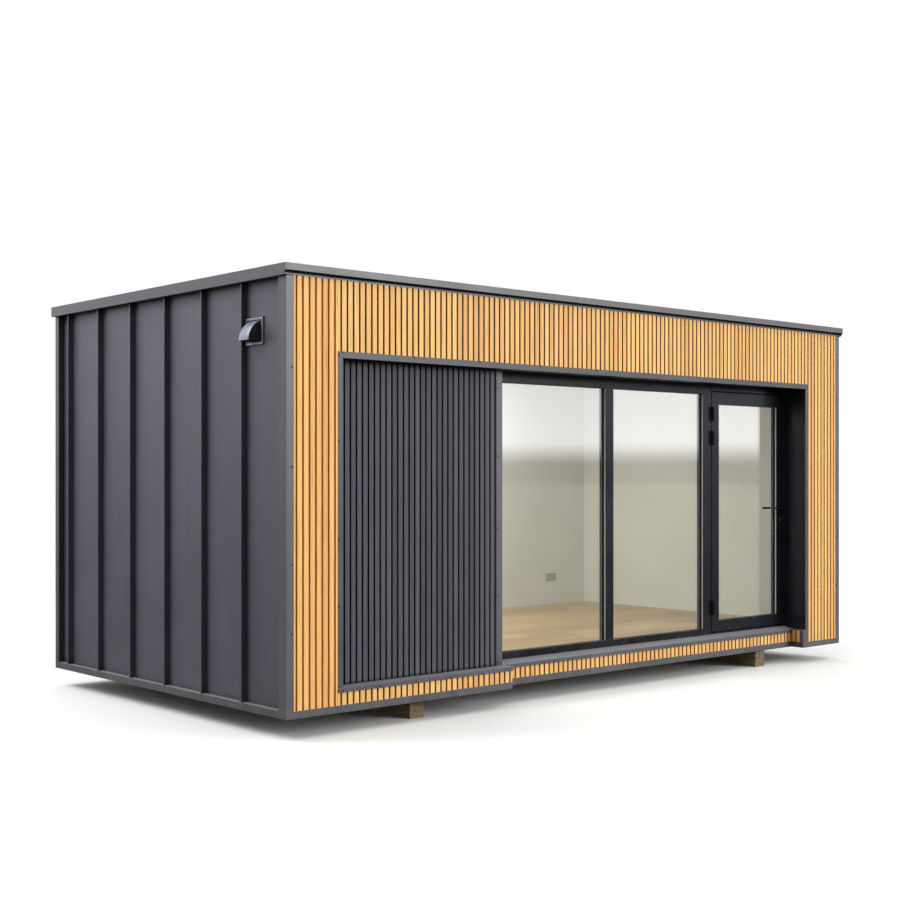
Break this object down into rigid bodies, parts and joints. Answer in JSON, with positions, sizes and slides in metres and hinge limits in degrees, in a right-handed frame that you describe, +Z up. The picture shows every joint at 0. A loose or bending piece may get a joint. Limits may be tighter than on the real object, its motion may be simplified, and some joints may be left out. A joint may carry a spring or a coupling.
{
  "type": "garden office pod",
  "caption": "Flat-roofed garden office pod with a portal of timber slats, a recessed glazed front with a swing door and standing-seam metal ends, on timber bearers.",
  "frame": {"origin": "on the ground, under the middle of the pod's outer box", "axes": "+X along the length to the right as seen from the glazed front, +Y to the back, +Z up"},
  "size_m": [6.132, 3.228, 2.99],
  "materials": {
    "bearer_timber": "rough sawn",
    "structural_board": "plain board",
    "floor_laminate": "satin",
    "white_panel": "matte",
    "roof_membrane": "matte",
    "graphite_sheet": "matte",
    "graphite_trim": "matte",
    "golden_slats": "oiled",
    "dark_slats": "matte painted",
    "frame_paint": "satin",
    "clear_glass": "clear",
    "black_hardware": "satin",
    "lock_steel": "satin",
    "vent_metal": "satin",
    "black_plastic": "satin",
    "white_plastic": "gloss"
  },
  "bodies": {
    "pod": {"bearers": "bearer_timber", "floor_panel": "structural_board", "floor_deck": "structural_board", "roof_deck": "structural_board", "floor_boards": "floor_laminate", "left_wall": "white_panel", "right_wall": "white_panel", "back_wall": "white_panel", "left_pier": "white_panel", "right_pier": "white_panel", "front_wall": "white_panel", "front_beam": "white_panel", "wall_linings": "white_panel", "ceiling": "white_panel", "roof_panel": "white_panel", "roof_membrane": "roof_membrane", "left_cladding": "graphite_sheet", "right_cladding": "graphite_sheet", "back_cladding": "graphite_sheet", "side_roof_trims": "graphite_trim", "front_roof_trim": "graphite_trim", "back_roof_trim": "graphite_trim", "corner_trims": "graphite_trim", "side_base_trims": "graphite_trim", "front_base_trims": "graphite_trim", "left_opening_trim": "graphite_trim", "top_opening_trim": "graphite_trim", "right_opening_trim": "graphite_trim", "plinth_corner_trim": "graphite_trim", "panel_corner_trim": "graphite_trim", "panel_sill": "graphite_trim", "glazing_sill": "graphite_trim", "left_slat_column": "golden_slats", "right_slat_column": "golden_slats", "top_slat_band": "golden_slats", "panel_plinth_slats": "golden_slats", "glazing_plinth_slats": "golden_slats", "dark_slat_panel": "dark_slats", "frame_posts": "frame_paint", "frame_heads": "frame_paint", "frame_bottom_rails": "frame_paint", "frame_packer": "frame_paint", "window_beads": "frame_paint", "door_stop": "frame_paint", "window_panes": "clear_glass", "frame_hinges": "black_hardware", "vent_hood": "vent_metal", "vent_cheeks": "black_plastic", "wall_socket": "white_plastic"},
    "door_leaf": {"door_stiles": "frame_paint", "door_rails": "frame_paint", "door_pane": "clear_glass", "door_beads": "frame_paint", "door_hinges": "black_hardware", "door_roses": "black_hardware", "lock_cylinder": "lock_steel"},
    "lever": {"door_lever": "black_hardware"}
  },
  "joints": [
    {"name": "door_swing", "type": "hinge", "parent": "pod", "child": "door_leaf", "pos_m": [1.4825, -1.382, 1.34], "axis": [0, 0, -1], "range_deg": [0, 100]},
    {"name": "lever_turn", "type": "hinge", "parent": "door_leaf", "child": "lever", "pos_m": [2.4465, -1.34, 1.368], "axis": [0, -1, 0], "range_deg": [0, 40], "stiffness_Nm_per_rad": 2}
  ]
}
